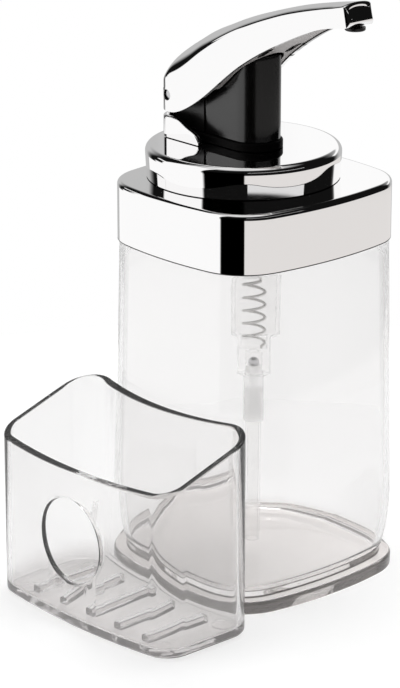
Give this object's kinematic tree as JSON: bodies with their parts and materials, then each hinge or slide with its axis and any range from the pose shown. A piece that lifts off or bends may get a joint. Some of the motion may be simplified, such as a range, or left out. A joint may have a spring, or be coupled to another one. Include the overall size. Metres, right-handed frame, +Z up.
{
  "type": "soap dispenser",
  "caption": "Clear bottle with a chrome cap and a sprung lever pump that presses soap out at the spout's tip, beside a clear sponge caddy with a round hole and floor ribs.",
  "frame": {"origin": "on the table under the bottle's foot, on the axis of the pump", "axes": "+Z up, +X along the spout, the caddy stands on the -Y side"},
  "size_m": [0.1014, 0.142, 0.2302],
  "materials": {
    "clear_plastic": "clear polished acrylic",
    "chrome": "bright mirror chrome",
    "milky_plastic": "translucent natural polypropylene",
    "seal_rubber": "soft white seal",
    "black_plastic": "satin black moulding",
    "grey_plastic": "grey plated underside",
    "steel": "stainless steel"
  },
  "bodies": {
    "bottle": {"bottle": "clear_plastic"},
    "pump_unit": {"cap_shell": "chrome", "cap_liner": "milky_plastic", "cap_gasket": "seal_rubber", "collar": "chrome", "retaining_nut": "black_plastic", "column_ring": "black_plastic", "column": "black_plastic", "hinge_block": "black_plastic", "hinge_pin": "steel", "heel": "chrome", "cylinder": "milky_plastic", "rod_seal": "seal_rubber", "ferrule": "milky_plastic", "dip_tube": "milky_plastic", "return_spring": "steel"},
    "lever": {"lever": "chrome", "lever_liner": "grey_plastic", "nozzle": "black_plastic"},
    "plunger": {"plunger": "milky_plastic", "piston_seal": "seal_rubber"},
    "inlet_ball": {"inlet_ball": "steel"},
    "caddy": {"caddy": "clear_plastic"}
  },
  "joints": [
    {"name": "pump_liftoff", "type": "slide", "parent": "bottle", "child": "pump_unit", "axis": [0, 0, 1], "range_m": [0, 0.14]},
    {"name": "lever_hinge", "type": "hinge", "parent": "pump_unit", "child": "lever", "pos_m": [-0.031, 0, 0.1835], "axis": [0, 1, 0], "range_deg": [0, 12.5], "stiffness_Nm_per_rad": 1, "springref_deg": -20.05},
    {"name": "plunger_slide", "type": "slide", "parent": "pump_unit", "child": "plunger", "axis": [0, 0, -1], "range_m": [0, 0.0066], "deforming": ["return_spring"]},
    {"name": "inlet_ball_lift", "type": "slide", "parent": "pump_unit", "child": "inlet_ball", "axis": [0, 0, 1], "range_m": [0, 0.0015]},
    {"name": "caddy_slide", "type": "slide", "parent": "bottle", "child": "caddy", "axis": [0, -1, 0], "range_m": [0, 0.06]}
  ],
  "couplings": [
    {"joint": "plunger_slide", "follows": "lever_hinge", "m_per_rad": 0.0298}
  ]
}
